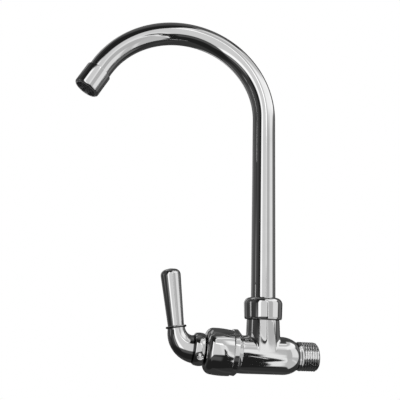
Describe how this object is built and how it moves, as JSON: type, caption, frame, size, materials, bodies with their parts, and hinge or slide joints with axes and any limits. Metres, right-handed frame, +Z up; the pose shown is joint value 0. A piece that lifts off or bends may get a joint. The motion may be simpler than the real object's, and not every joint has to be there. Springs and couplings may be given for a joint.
{
  "type": "wall-mounted gooseneck faucet",
  "caption": "Wall-mounted single-lever cold-water faucet with a tee body, a capped side valve, an upright swivel spout bent into a high gooseneck, and a threaded wall inlet.",
  "frame": {"origin": "centre of the inlet thread's root, where the thread meets the neck of the body", "axes": "+X along the inlet into the wall, +Z up along the spout's riser, the nozzle towards -X"},
  "size_m": [0.1969, 0.0334, 0.2847],
  "materials": {
    "chrome": "polished plating on brass",
    "brass": "turned",
    "ceramic": "lapped",
    "rubber": "matt",
    "plastic": "moulded",
    "steel": "bright"
  },
  "bodies": {
    "body": {"tee_body": "chrome", "cartridge_housing": "brass", "housing_gasket": "rubber", "seat_seal": "rubber", "seat_backup_ring": "plastic", "fixed_disc": "ceramic", "bonnet_cap": "chrome", "spout_nut": "chrome", "spout_glide_ring": "plastic"},
    "lever": {"spindle": "brass", "spindle_o_ring_inner": "rubber", "spindle_o_ring_outer": "rubber", "thrust_washer": "plastic", "spindle_clip": "steel", "moving_disc": "ceramic", "lever_arm": "chrome", "grub_screw": "steel", "lever_collar": "chrome", "lever_grip": "chrome", "grip_stud": "steel"},
    "spout": {"spout_tube": "chrome", "spout_ferrule": "brass", "spout_o_ring_lower": "rubber", "spout_o_ring_upper": "rubber", "outlet_ferrule": "brass", "aerator_nut": "chrome", "aerator_washer": "rubber", "aerator_screen": "steel", "aerator_insert": "plastic"}
  },
  "joints": [
    {"name": "lever_turn", "type": "hinge", "parent": "body", "child": "lever", "pos_m": [-0.043, 0, 0], "axis": [-0.9969, 0, 0.0785], "range_deg": [0, 90]},
    {"name": "spout_swivel", "type": "hinge", "parent": "body", "child": "spout", "pos_m": [-0.027, 0, 0.04], "axis": [0, 0, 1], "range_deg": [-95, 95]}
  ]
}
